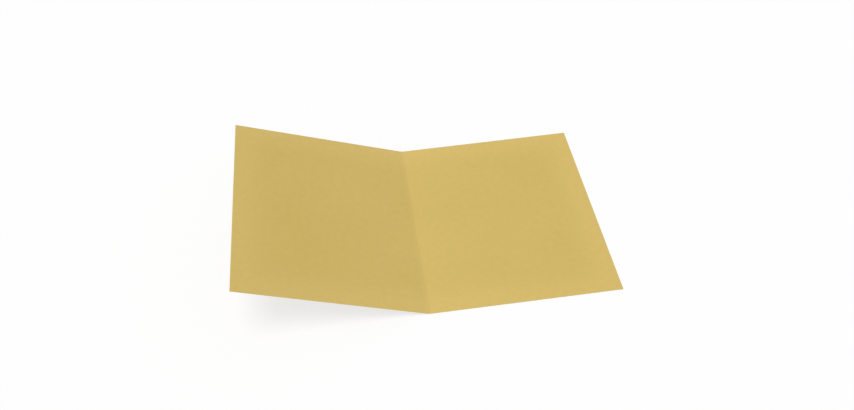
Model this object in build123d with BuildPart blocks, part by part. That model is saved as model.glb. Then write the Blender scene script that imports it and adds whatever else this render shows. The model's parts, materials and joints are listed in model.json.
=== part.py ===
from build123d import *
import os
from math import cos, radians, sin

# Manila folder: a sheet of card scored down the middle and folded, with a ruled form printed on the front.
# It stands open with the back cover flat on the table and the front cover lifted.
# The origin is under the middle of the back cover, X runs from the fold to the back cover's fore edge,
# Y runs up the folder and Z is up. Sizes are in millimetres and angles in degrees.

# Card
cover_width = 250.0
cover_height = 330.0
card_thickness = 0.28

# Fold
opening_angle = 160.25
closed_gap = 0.6
crease_band = 1.6

# Printed border: two lines with round corners, measured from the card's edges to the middle of a line
outer_margin_spine = 17.7
outer_margin_fore = 20.3
outer_margin_top = 18.2
outer_margin_bottom = 16.0
outer_corner_radius = 13.5
outer_line_width = 0.9
inner_gap_side = 5.3
inner_gap_top = 5.8
inner_gap_bottom = 7.4
inner_corner_radius = 8.0
inner_line_width = 0.55

# Printed rules for the title, and a short one below them that ends in line with them
rule_margin_spine = 62.1
rule_margin_fore = 65.4
first_rule_from_top = 92.8
rule_spacing = 36.8
short_rule_length = 65.5
short_rule_drop = 54.3
rule_line_width = 0.9
ink_thickness = 0.02

# The fold line runs up the folder, half the closed gap above the inside of the card
fold_radius = closed_gap / 2
fold_x = -cover_width / 2
fold_z = card_thickness + fold_radius
cover_lift = 180 - opening_angle
crease_half = crease_band / 2
panel_width = cover_width - crease_half

# Inside and outside faces of the lifted front cover: x runs from the fold to the fore edge, y up the folder
front_inside = Plane(
    origin=(fold_x, 0, fold_z),
    x_dir=(-cos(radians(cover_lift)), 0, sin(radians(cover_lift))),
    z_dir=(-sin(radians(cover_lift)), 0, -cos(radians(cover_lift))),
).offset(fold_radius)
front_outside = front_inside.offset(card_thickness)

os.makedirs("parts", exist_ok=True)

# Back cover, flat on the table
with BuildPart() as back_cover:
    with BuildSketch(Plane.XY):
        with Locations((fold_x + crease_half, 0)):
            Rectangle(panel_width, cover_height, align=(Align.MIN, Align.CENTER))
    extrude(amount=card_thickness)
back_cover.part.label = "back_cover"
export_step(back_cover.part, "parts/back_cover.step")

# Front cover, lifted about the fold
with BuildPart() as front_cover:
    with BuildSketch(front_inside):
        with Locations((crease_half, 0)):
            Rectangle(panel_width, cover_height, align=(Align.MIN, Align.CENTER))
    extrude(amount=card_thickness)
front_cover.part.label = "front_cover"
export_step(front_cover.part, "parts/front_cover.step")

# Scored strip that bends round the fold line and carries on into both covers
with BuildPart() as spine_crease:
    with BuildSketch(Plane.XZ):
        with BuildLine():
            back_run = Line((fold_x + crease_half, card_thickness), (fold_x, card_thickness))
            bend = JernArc(back_run @ 1, back_run % 1, fold_radius, -cover_lift)
            Line(bend @ 1, bend @ 1 + (bend % 1) * crease_half)
            offset(amount=card_thickness, side=Side.LEFT)
        make_face()
    extrude(amount=cover_height / 2, both=True)
spine_crease.part.label = "spine_crease"
export_step(spine_crease.part, "parts/spine_crease.step")


def print_border(name, spine, fore, bottom, top, corner_radius, line_width):
    """A closed line with round corners, whose middle runs at the given places on the front cover."""
    with BuildPart() as border:
        with BuildSketch(front_outside):
            with Locations(((spine + fore) / 2, (bottom + top) / 2)):
                RectangleRounded(
                    fore - spine + line_width,
                    top - bottom + line_width,
                    corner_radius + line_width / 2,
                )
                RectangleRounded(
                    fore - spine - line_width,
                    top - bottom - line_width,
                    corner_radius - line_width / 2,
                    mode=Mode.SUBTRACT,
                )
        extrude(amount=ink_thickness)
    border.part.label = name
    export_step(border.part, f"parts/{name}.step")


def print_rule(name, length, drop):
    """A straight line that ends where all the rules end, a given drop below the cover's top edge."""
    with BuildPart() as rule:
        with BuildSketch(front_outside):
            with Locations((cover_width - rule_margin_fore, cover_height / 2 - drop)):
                Rectangle(length, rule_line_width, align=(Align.MAX, Align.CENTER))
        extrude(amount=ink_thickness)
    rule.part.label = name
    export_step(rule.part, f"parts/{name}.step")


# Border lines
outer_spine = outer_margin_spine
outer_fore = cover_width - outer_margin_fore
outer_bottom = -cover_height / 2 + outer_margin_bottom
outer_top = cover_height / 2 - outer_margin_top
print_border(
    "border_line_outer",
    outer_spine,
    outer_fore,
    outer_bottom,
    outer_top,
    outer_corner_radius,
    outer_line_width,
)
print_border(
    "border_line_inner",
    outer_spine + inner_gap_side,
    outer_fore - inner_gap_side,
    outer_bottom + inner_gap_bottom,
    outer_top - inner_gap_top,
    inner_corner_radius,
    inner_line_width,
)

# Title rules and the short rule
title_rule_length = cover_width - rule_margin_spine - rule_margin_fore
title_rules = ("title_rule_upper", "title_rule_middle", "title_rule_lower")
for row, name in enumerate(title_rules):
    print_rule(name, title_rule_length, first_rule_from_top + row * rule_spacing)
last_rule_from_top = first_rule_from_top + (len(title_rules) - 1) * rule_spacing
print_rule("short_rule", short_rule_length, last_rule_from_top + short_rule_drop)

print("OK")
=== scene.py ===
import json
from math import cos, pi, radians, sin, tan

import bpy
import numpy as np
from mathutils import Matrix, Vector


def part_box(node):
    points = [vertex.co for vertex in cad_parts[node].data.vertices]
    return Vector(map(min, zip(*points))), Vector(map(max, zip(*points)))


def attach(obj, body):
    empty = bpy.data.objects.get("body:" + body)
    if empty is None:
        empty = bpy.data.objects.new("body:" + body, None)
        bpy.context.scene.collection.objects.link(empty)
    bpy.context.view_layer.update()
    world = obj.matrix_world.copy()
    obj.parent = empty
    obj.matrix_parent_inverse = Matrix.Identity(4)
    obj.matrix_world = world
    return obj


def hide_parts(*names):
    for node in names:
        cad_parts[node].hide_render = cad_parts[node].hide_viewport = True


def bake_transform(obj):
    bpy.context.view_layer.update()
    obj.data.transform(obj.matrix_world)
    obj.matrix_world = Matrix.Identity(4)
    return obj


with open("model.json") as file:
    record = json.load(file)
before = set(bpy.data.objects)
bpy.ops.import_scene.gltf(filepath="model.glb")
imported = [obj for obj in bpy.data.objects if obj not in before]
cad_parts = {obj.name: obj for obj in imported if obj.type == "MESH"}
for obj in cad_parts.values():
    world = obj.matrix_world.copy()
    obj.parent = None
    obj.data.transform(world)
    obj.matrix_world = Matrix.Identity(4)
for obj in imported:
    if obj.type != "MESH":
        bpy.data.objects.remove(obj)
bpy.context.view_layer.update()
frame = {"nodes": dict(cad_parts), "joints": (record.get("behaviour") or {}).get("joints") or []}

# An open manila folder: one sheet of card, creased down the middle, with a ruled form printed on the front.
# Sizes are in metres. The frame gives the card's size, where it folds and the lines of the form.
# The fold's lower limit is flat open, which tells how far the front cover is lifted at rest.
back_low, back_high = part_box("back_cover")
fold = next(joint for joint in frame["joints"] if joint["name"] == "cover_fold")
fold_x, _, fold_z = fold["pos_m"]
cover_lift = radians(-fold["range_deg"][0])
cover_width = back_high.x - fold_x
cover_height = back_high.y - back_low.y
card_thickness = back_high.z - back_low.z
fold_radius = fold_z - back_high.z

# Crease: the card folds within a narrow strip, and bends more gently some way into each cover.
# The covers swell slightly beside it, from having been pressed shut, and their corners curl inward.
turn_reach = 0.0012
round_reach = 0.005
round_rise = round_reach * tan(cover_lift / 2) / 2
swell_height = 0.00015
swell_reach = 0.009
swell_fade = 0.06
curl_height = 0.0002

# Mesh of the card: columns lie closer together towards the fold
columns_per_cover = 90
column_growth = 6.1
row_count = 57
sharp_angle = radians(40)

# Surface map of the card, as shares of its width: both faces side by side, then a strip for each cut edge
face_count, edge_count = 2, 4
inside_island, outside_island = range(face_count)
strip_share = 0.003
map_gap = 0.002
gap_count = face_count + edge_count + 1
face_share = (1 - edge_count * strip_share - gap_count * map_gap) / face_count

# Printed lines: films of ink whose foot is sunk into the card and whose sides slope
border_names = ("border_line_outer", "border_line_inner")
rule_names = ("title_rule_upper", "title_rule_middle", "title_rule_lower", "short_rule")
film_foot = 0.00001
film_slope = 0.00002
line_step = 0.01
corner_steps = 14
place_tolerance = 0.00001

# Colours
inside_colour = (0.615, 0.454, 0.130)
outside_colour = (0.462, 0.341, 0.0807)
core_colour = (0.66, 0.51, 0.19)
ink_colour = (0.012, 0.009, 0.005)
thin_ink_colour = (0.070, 0.051, 0.019)

# Tone runs from 0, a surface's darkest shade, to 1, its palest. Contrast is for red, green and blue:
# the card's darker shades are also yellower.
middle_tone = 0.5
card_contrast = (0.16, 0.16, 0.30)
edge_contrast = (0.12, 0.12, 0.18)

# Marks in the card: their size, and how much they add to its tone
cloud_size, cloud_tone = 0.009, 0.30
drift_size, drift_tone = 0.11, 0.22
tooth_size, tooth_tone = 0.0004, 0.12

# Fibres and specks: the way they lie, their length and width, and their tone. They wander off their line.
pale_fibres = (radians(12), 0.0030, 0.00022, 0.24)
dark_fibres = (radians(74), 0.0022, 0.00018, -0.34)
cross_fibres = (radians(135), 0.0026, 0.00020, 0.14)
specks = (radians(40), 0.0019, 0.0011, -0.40)
wander_size = 0.0055
wander_reach = 0.004

# Wear and painted light: the rubbed rim, borders painted paler as light, the broad band beside the crease,
# and the scored line
rim_reach, rim_tone = 0.0007, 0.15
border_reach, border_drift = 0.055, 0.05
beside_reach = 0.16
score_reach = 0.001
# Inside, the band beside the crease is a painted highlight, and the scored line's dark is partly pressed
# card and partly painted shade in its groove. Outside, the band beside the crease is painted shade.
inside_wear_and_painted_light = {"border": 0.21, "beside": 0.11, "score": -0.35}
outside_wear_and_painted_light = {"border": 0.08, "beside": -0.06, "score": 0.35}

# Cut edge: flecks of the core, and streaks where the blade dragged
fleck_size = 0.0007
streak_size, streak_tone = 0.004, -0.3

# Ink: patches where it was pressed on less, and the least share of the tooth's misses that shows elsewhere
patch_size = 0.017
least_miss = 0.4

# Noise: its middle value, how far it mostly strays from that, its detail, and the parts that show as marks
noise_middle, noise_reach = 0.5, 0.2
fine_detail, coarse_detail = 3.0, 1.0
fibre_range = (0.08, 0.24)
speck_range = (0.20, 0.26)
miss_range = (-0.05, 0.25)

# Finish of the surfaces: roughness in the hollows and on the peaks, shine, and depth of the relief
relief_strength = 0.5
card_finish = {"roughness": (0.86, 0.70), "shine": 0.25, "relief": 0.00003}
edge_finish = {"roughness": (0.95, 0.85), "shine": 0.20, "relief": 0.00004}
ink_finish = {"roughness": (0.70, 0.85), "shine": 0.08, "relief": 0.00002}

# Camera
camera_place = Vector((-0.1859, -0.9714, 0.9125))
camera_target = Vector((-0.1022, 0.0390, 0.0))
camera_roll = radians(-3.70)
camera_lens = 40.54
sensor_width = 36.0

# Studio: the surround and the lamp together light a level surface about as its colour is written
white = (1.0, 1.0, 1.0, 1.0)
floor_size = 12.0
floor_drop = 0.00005
floor_colour = (0.96, 0.96, 0.96, 1.0)
floor_whiteness = 0.75
ambient_level = 0.36
key_from = Vector((-0.21, -0.25, 1.0))
key_level = 0.64
key_spread = radians(35)


def smooth_step(share):
    """A share from 0 to 1 that starts and ends gently."""
    share = np.clip(share, 0, 1)
    return share * share * (3 - 2 * share)


def crease_rise(across):
    """How far the card stands inward of its flat cover, by its distance from the fold."""
    reach = np.abs(across)
    rounding = round_rise * np.clip(1 - reach / round_reach, 0, 1) ** 2
    swell = swell_height * smooth_step(reach / swell_reach) * np.exp(-reach / swell_fade)
    return rounding + swell


def card_place(across, along, depth):
    """Where a point of the flat sheet lies on the open folder.

    across runs from the fold, and is positive on the back cover; along runs up the folder;
    depth goes from the inside face towards the outside.
    """
    turn = cover_lift * smooth_step((turn_reach - across) / (2 * turn_reach))
    curl = curl_height * (across / cover_width) ** 2 * (2 * along / cover_height) ** 2
    height = crease_rise(across) + curl - fold_radius - depth
    x = fold_x + across * np.cos(turn) + height * np.sin(turn)
    z = fold_z - across * np.sin(turn) + height * np.cos(turn)
    return np.stack([x, along, z], axis=-1)


def new_piece(name, points, faces, materials, slots=None):
    """A mesh object with smooth faces, whose edges stay sharp where they turn hard."""
    mesh = bpy.data.meshes.new(name)
    mesh.from_pydata([tuple(point) for point in points], [], faces)
    for material in materials:
        mesh.materials.append(material)
    if slots is not None:
        mesh.polygons.foreach_set("material_index", slots)
    mesh.polygons.foreach_set("use_smooth", [True] * len(mesh.polygons))
    mesh.set_sharp_from_angle(angle=sharp_angle)
    mesh.update()
    piece = bpy.data.objects.new(name, mesh)
    bpy.context.scene.collection.objects.link(piece)
    return piece


def map_surface(mesh, places, islands):
    """Lays the card out on a square map, by the island that each face of its mesh belongs to.

    Islands are the inside and the outside, then the bottom, right, top and left cut edges.
    """
    corners = np.empty(len(mesh.loops), dtype=np.int32)
    mesh.loops.foreach_get("vertex_index", corners)
    corners_per_face = len(corners) // len(islands)
    island = np.repeat(islands, corners_per_face)
    across, along, side = places[corners].T
    onward = across / (2 * cover_width) + 0.5
    upward = along / cover_height + 0.5
    widths = np.array([face_share] * face_count + [strip_share] * edge_count)
    lefts = np.cumsum(widths + map_gap) - widths
    share = np.choose(island, [1 - upward, upward] + [side] * edge_count)
    height = np.choose(island, [onward, onward, onward, upward, 1 - onward, 1 - upward])
    spots = np.c_[lefts[island] + widths[island] * share, map_gap + (1 - 2 * map_gap) * height]
    mesh.uv_layers.new(name="OFBake").uv.foreach_set("vector", spots.astype(np.float32).ravel())


def card_sheet(materials):
    """The whole card as one closed mesh: inside face, outside face and cut edges."""
    steps = np.arange(columns_per_cover + 1) / columns_per_cover
    reaches = cover_width * np.expm1(column_growth * steps) / np.expm1(column_growth)
    across = np.concatenate([-reaches[:0:-1], reaches])
    along = np.linspace(-cover_height / 2, cover_height / 2, row_count)
    flat = np.stack(np.meshgrid(across, along, indexing="ij"), axis=-1).reshape(-1, 2)
    layers = [card_place(flat[:, 0], flat[:, 1], depth) for depth in (0.0, card_thickness)]
    layer_size = len(flat)

    def inside(column, row):
        return column * row_count + row

    def outside(column, row):
        return layer_size + inside(column, row)

    last_column, last_row = len(across) - 1, row_count - 1
    faces, islands = [], []
    for i in range(last_column):
        for j in range(last_row):
            ring = [(i, j), (i + 1, j), (i + 1, j + 1), (i, j + 1)]
            faces.append([inside(*corner) for corner in ring])
            faces.append([outside(*corner) for corner in reversed(ring)])
            islands += [inside_island, outside_island]
    cut_edges = (
        [(i, 0) for i in range(last_column)],
        [(last_column, j) for j in range(last_row)],
        [(i, last_row) for i in range(last_column, 0, -1)],
        [(0, j) for j in range(last_row, 0, -1)],
    )
    rim = [corner for edge in cut_edges for corner in edge]
    for here, there in zip(rim, rim[1:] + rim[:1]):
        faces.append([inside(*there), inside(*here), outside(*here), outside(*there)])
    for island, edge in enumerate(cut_edges, start=face_count):
        islands += [island] * len(edge)

    # Each face of the card has its own material, and the cut edges share the next one
    slots = np.minimum(islands, face_count)
    piece = new_piece("card_sheet", np.concatenate(layers), faces, materials, slots)

    # Each point keeps its place on the flat sheet, and its side of it, so the grain bends with the card
    places = np.concatenate([np.c_[flat, np.zeros(layer_size)], np.c_[flat, np.ones(layer_size)]])
    grain = piece.data.attributes.new("sheet_place", "FLOAT_VECTOR", "POINT")
    grain.data.foreach_set("vector", places.astype(np.float32).ravel())
    map_surface(piece.data, places, islands)
    return piece


def printed_places(node):
    """The corners of a printed line's solid as places on the flat sheet: across, along and depth."""
    points = np.array([vertex.co for vertex in frame["nodes"][node].data.vertices])
    x, z = points[:, 0] - fold_x, points[:, 2] - fold_z
    across = x * cos(cover_lift) - z * sin(cover_lift)
    depth = -x * sin(cover_lift) - z * cos(cover_lift) - fold_radius
    return np.c_[across, points[:, 1], depth]


def border_shape(places):
    """Width of a border line, and the radius of its corners along its middle.

    A side's straight stretch ends where a corner starts, level with the end of its inner edge.
    """
    low, high = places.min(0), places.max(0)
    side = places[places[:, 0] < low[0] + place_tolerance]
    corner_start = side[:, 1].max()
    level = places[np.abs(places[:, 1] - corner_start) < place_tolerance]
    inner_edge = level[level[:, 0] > low[0] + place_tolerance, 0].min()
    width = inner_edge - low[0]
    return width, high[1] - corner_start - width / 2


def straight_run(start, end):
    """Points from start to just before end, close enough to follow the card's curl."""
    count = max(2, int(np.ceil(np.linalg.norm(end - start) / line_step)))
    return [start + (end - start) * k / count for k in range(count)]


def border_path(low, high, radius):
    """A closed path with round corners, as points and the directions that point out of it."""
    right, top = high - radius
    left, bottom = low + radius
    middles = np.array([(right, top), (left, top), (left, bottom), (right, bottom)])
    points, outward = [], []
    for quarter, (middle, next_middle) in enumerate(zip(middles, np.roll(middles, -1, axis=0))):
        angles = (quarter + np.linspace(0, 1, corner_steps + 1)) * pi / 2
        arc = np.c_[np.cos(angles), np.sin(angles)]
        run = straight_run(middle + radius * arc[-1], next_middle + radius * arc[-1])
        points += [*(middle + radius * arc[:-1]), *run]
        outward += [*arc[:-1], *[arc[-1]] * len(run)]
    return np.array(points), np.array(outward)


def ribbon(name, points, outward, width, height, closed, material):
    """A film of ink along a path on the outside of the card. Outward is to the right of the path."""
    half = width / 2
    rails = (
        (-half, -film_foot),
        (-half + film_slope, height),
        (half - film_slope, height),
        (half, -film_foot),
    )
    rings = []
    for side, rise in rails:
        place = points + side * outward
        rings.append(card_place(place[:, 0], place[:, 1], card_thickness + rise))
    count, rail_count = len(points), len(rails)
    faces = []
    for k in range(count if closed else count - 1):
        here, there = k * rail_count, (k + 1) % count * rail_count
        for rail in range(rail_count):
            beside = (rail + 1) % rail_count
            faces.append([here + rail, there + rail, there + beside, here + beside])
    if not closed:
        last = (count - 1) * rail_count
        faces.append(list(range(rail_count)))
        faces.append([last + rail for rail in reversed(range(rail_count))])
    return new_piece(name, np.stack(rings, axis=1).reshape(-1, 3), faces, [material])


def border_line(node, material):
    """A closed line with round corners."""
    places = printed_places(node)
    low, high = places.min(0), places.max(0)
    width, radius = border_shape(places)
    points, outward = border_path(low[:2] + width / 2, high[:2] - width / 2, radius)
    return ribbon(f"ink_{node}", points, outward, width, high[2] - low[2], True, material)


def rule_line(node, material):
    """A straight line across the cover."""
    places = printed_places(node)
    low, high = places.min(0), places.max(0)
    middle = (low[1] + high[1]) / 2
    start, end = np.array([low[0], middle]), np.array([high[0], middle])
    points = np.array([*straight_run(start, end), end])
    outward = np.tile([0.0, -1.0], (len(points), 1))
    return ribbon(f"ink_{node}", points, outward, high[1] - low[1], high[2] - low[2], False, material)


def printed_form(material):
    """The border's two lines and the four rules, each in place of its solid."""
    makers = {name: border_line for name in border_names} | {name: rule_line for name in rule_names}
    for node, make_line in makers.items():
        line = make_line(node, material)
        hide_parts(node)
        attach(line, "front")


def add_node(tree, kind, inputs=None, **settings):
    """A shader node. Inputs are values, or outputs of other nodes, by socket name or number."""
    node = tree.nodes.new(kind)
    for name, value in settings.items():
        setattr(node, name, value)
    for socket, value in (inputs or {}).items():
        if isinstance(value, bpy.types.NodeSocket):
            tree.links.new(value, node.inputs[socket])
        else:
            node.inputs[socket].default_value = value
    return node


def calculate(tree, operation, *values):
    """The result of arithmetic on numbers or on outputs of other nodes."""
    return add_node(tree, "ShaderNodeMath", dict(enumerate(values)), operation=operation).outputs[0]


def spread(tree, value, low, high, to_low=0.0, to_high=1.0, form="LINEAR"):
    """The value's range from low to high, spread over another range and held there."""
    inputs = {"Value": value, "From Min": low, "From Max": high, "To Min": to_low, "To Max": to_high}
    return add_node(tree, "ShaderNodeMapRange", inputs, interpolation_type=form).outputs[0]


def close_by(tree, distance, reach):
    """1 where the distance is 0, falling to 0 at the reach."""
    return spread(tree, distance, 0.0, reach, 1.0, 0.0)


def noise(tree, place, size, detail=fine_detail):
    """A random pattern about zero, with marks of about the given size."""
    inputs = {"Vector": place, "Scale": 1 / size, "Detail": detail}
    pattern = add_node(tree, "ShaderNodeTexNoise", inputs).outputs[0]
    return calculate(tree, "SUBTRACT", pattern, noise_middle)


def between(tree, pattern, low, high):
    """A noise pattern, spread to run from low to high."""
    return spread(tree, pattern, -noise_reach, noise_reach, low, high)


def blended(tree, share, first, second):
    """A colour between two others."""
    ramp = add_node(tree, "ShaderNodeValToRGB", {"Fac": share})
    for element, colour in zip(ramp.color_ramp.elements, (first, second)):
        element.color = (*colour, 1.0)
    return ramp.outputs["Color"]


def toned(tree, tone, colour, contrast):
    """A colour that is darker where the tone is 0 and paler where it is 1."""
    darker = [part * (1 - change) for part, change in zip(colour, contrast)]
    paler = [part * (1 + change) for part, change in zip(colour, contrast)]
    return blended(tree, tone, darker, paler)


def new_material(name):
    """An empty material, and its tree of nodes."""
    material = bpy.data.materials.new(name)
    material.use_nodes = True
    material.node_tree.nodes.clear()
    return material, material.node_tree


def close_material(tree, colour, texture, finish):
    """Ends a material in a rough, slightly shiny surface, whose roughness and relief follow a texture."""
    relief = {"Height": texture, "Strength": relief_strength, "Distance": finish["relief"]}
    inputs = {
        "Base Color": colour,
        "Roughness": between(tree, texture, *finish["roughness"]),
        "Specular IOR Level": finish["shine"],
        "Normal": add_node(tree, "ShaderNodeBump", relief).outputs[0],
    }
    surface = add_node(tree, "ShaderNodeBsdfPrincipled", inputs)
    add_node(tree, "ShaderNodeOutputMaterial", {"Surface": surface.outputs[0]})


def sheet_place(tree):
    """The place on the flat sheet that each point of the card keeps."""
    return add_node(tree, "ShaderNodeAttribute", attribute_name="sheet_place").outputs["Vector"]


def fibres(tree, place, angle, length, width, shown):
    """Thin streaks that lie about one way, where a noise pattern lies in the range that is shown."""
    stretch = {"Vector": place, "Rotation": (0.0, 0.0, angle), "Scale": (length, width, 1.0)}
    turned = add_node(tree, "ShaderNodeMapping", stretch, vector_type="TEXTURE").outputs[0]
    return spread(tree, noise(tree, turned, size=1.0, detail=coarse_detail), *shown)


def wandering(tree, place):
    """The place, pushed about a little, so that what follows it doesn't run straight."""
    push = add_node(tree, "ShaderNodeTexNoise", {"Vector": place, "Scale": 1 / wander_size})
    inputs = {0: push.outputs["Color"], 1: (wander_reach, wander_reach, 0.0), 2: place}
    return add_node(tree, "ShaderNodeVectorMath", inputs, operation="MULTIPLY_ADD").outputs[0]


def wear_and_light_marks(tree, place, clouds, drift, wear_and_light):
    """The marks that use leaves on the card, and the light and shade painted on it, each with how much it
    adds to the tone.
    """
    parts = add_node(tree, "ShaderNodeSeparateXYZ", {"Vector": place})
    from_fold = calculate(tree, "ABSOLUTE", parts.outputs[0])
    from_middle = calculate(tree, "ABSOLUTE", parts.outputs[1])
    from_fore_edge = calculate(tree, "SUBTRACT", cover_width, from_fold)
    from_end = calculate(tree, "SUBTRACT", cover_height / 2, from_middle)
    # The borders are painted paler, as light, spread unevenly by the drift pattern
    off_border = 1.0
    for distance in (from_fore_edge, from_end):
        uneven = calculate(tree, "MULTIPLY_ADD", drift, border_drift, distance)
        kept = spread(tree, uneven, 0.0, border_reach, form="SMOOTHSTEP")
        off_border = calculate(tree, "MULTIPLY", off_border, kept)
    # The scored line, broken up by the clouds: inside it is darker, partly as painted shade in the groove
    patchiness = between(tree, clouds, 0.0, 1.0)
    score = calculate(tree, "MULTIPLY", close_by(tree, from_fold, score_reach), patchiness)
    # The band beside the crease is painted light inside and painted shade outside
    return [
        (close_by(tree, calculate(tree, "MINIMUM", from_fore_edge, from_end), rim_reach), rim_tone),
        (calculate(tree, "SUBTRACT", 1.0, off_border), wear_and_light["border"]),
        (close_by(tree, from_fold, beside_reach), wear_and_light["beside"]),
        (score, wear_and_light["score"]),
    ]


def card_material(name, colour, wear_and_light):
    """Card with cloudy pulp, fibres, specks and a fine tooth, worn at its rim, with painted light and shade
    at its borders and beside its crease, and a scored line that is partly painted shade.
    """
    material, tree = new_material(name)
    place = sheet_place(tree)
    clouds = noise(tree, place, cloud_size)
    drift = noise(tree, place, drift_size, detail=coarse_detail)
    tooth = noise(tree, place, tooth_size)
    marks = [(clouds, cloud_tone), (drift, drift_tone), (tooth, tooth_tone)]
    curved_place = wandering(tree, place)
    streaks = [(kind, fibre_range) for kind in (pale_fibres, dark_fibres, cross_fibres)]
    for (*shape, kind_tone), shown in [*streaks, (specks, speck_range)]:
        marks.append((fibres(tree, curved_place, *shape, shown), kind_tone))
    marks += wear_and_light_marks(tree, place, clouds, drift, wear_and_light)
    tone = middle_tone
    for mark, mark_tone in marks:
        tone = calculate(tree, "MULTIPLY_ADD", mark, mark_tone, tone)
    close_material(tree, toned(tree, tone, colour, card_contrast), tooth, card_finish)
    return material


def edge_material():
    """The cut edge, where the card's paler core shows."""
    material, tree = new_material("card_cut_edge")
    place = sheet_place(tree)
    flecks = noise(tree, place, fleck_size)
    streaks = fibres(tree, place, 0.0, streak_size, streak_size, fibre_range)
    tone = calculate(tree, "MULTIPLY_ADD", streaks, streak_tone, between(tree, flecks, 0.0, 1.0))
    close_material(tree, toned(tree, tone, core_colour, edge_contrast), flecks, edge_finish)
    return material


def ink_material():
    """Dark ink that lies thin where the card's tooth misses some of it."""
    material, tree = new_material("printing_ink")
    place = add_node(tree, "ShaderNodeTexCoord").outputs["Object"]
    tooth = noise(tree, place, tooth_size)
    patches = between(tree, noise(tree, place, patch_size), least_miss, 1.0)
    thinness = calculate(tree, "MULTIPLY", spread(tree, tooth, *miss_range), patches)
    close_material(tree, blended(tree, thinness, ink_colour, thin_ink_colour), tooth, ink_finish)
    return material


def seen_directly(tree):
    """1 for what the camera sees, straight or in gloss or glass, and 0 for light on the object."""
    path = add_node(tree, "ShaderNodeLightPath").outputs
    either = calculate(tree, "MAXIMUM", path["Is Camera Ray"], path["Is Glossy Ray"])
    return calculate(tree, "MAXIMUM", either, path["Is Transmission Ray"])


def studio_floor():
    """A pale floor that takes the folder's shadow and stands out white around it."""
    half = floor_size / 2
    ring = ((-half, -half), (half, -half), (half, half), (-half, half))
    corners = [(x, y, -floor_drop) for x, y in ring]
    material, tree = new_material("studio_floor")
    paint = add_node(tree, "ShaderNodeBsdfDiffuse", {"Color": floor_colour})
    glow = add_node(tree, "ShaderNodeEmission", {"Color": white, "Strength": 1.0})
    share = calculate(tree, "MULTIPLY", seen_directly(tree), floor_whiteness)
    surface = add_node(tree, "ShaderNodeMixShader", {0: share, 1: paint.outputs[0], 2: glow.outputs[0]})
    add_node(tree, "ShaderNodeOutputMaterial", {"Surface": surface.outputs[0]})
    new_piece("studio_floor", corners, [[0, 1, 2, 3]], [material])


def studio_light():
    """An even white surround and one large, distant, soft lamp from the upper left."""
    world = bpy.data.worlds.new("studio")
    world.use_nodes = True
    tree = world.node_tree
    tree.nodes.clear()
    strength = spread(tree, seen_directly(tree), 0.0, 1.0, ambient_level, 1.0)
    surround = add_node(tree, "ShaderNodeBackground", {"Color": white, "Strength": strength})
    add_node(tree, "ShaderNodeOutputWorld", {"Surface": surround.outputs[0]})
    bpy.context.scene.world = world

    lamp = bpy.data.lights.new("key", "SUN")
    lamp.angle = key_spread
    lamp.energy = key_level * pi / key_from.normalized().z
    key = bpy.data.objects.new("key", lamp)
    key.rotation_euler = (-key_from).to_track_quat("-Z", "Y").to_euler()
    bpy.context.scene.collection.objects.link(key)


def camera():
    """The photograph's viewpoint, with its slight roll."""
    view = bpy.data.cameras.new("camera")
    view.lens = camera_lens
    view.sensor_width = sensor_width
    eye = bpy.data.objects.new("camera", view)
    aim = (camera_target - camera_place).to_track_quat("-Z", "Y").to_matrix()
    turned = aim @ Matrix.Rotation(camera_roll, 3, "Z")
    eye.matrix_world = Matrix.Translation(camera_place) @ turned.to_4x4()
    bpy.context.scene.collection.objects.link(eye)
    bpy.context.scene.camera = eye


inside_face = card_material("manila_inside", inside_colour, inside_wear_and_painted_light)
outside_face = card_material("manila_outside", outside_colour, outside_wear_and_painted_light)
card = card_sheet([inside_face, outside_face, edge_material()])
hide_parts("back_cover", "front_cover", "spine_crease")
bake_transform(card)
printed_form(ink_material())
studio_floor()
studio_light()
camera()
bpy.context.scene.view_settings.view_transform = "Standard"
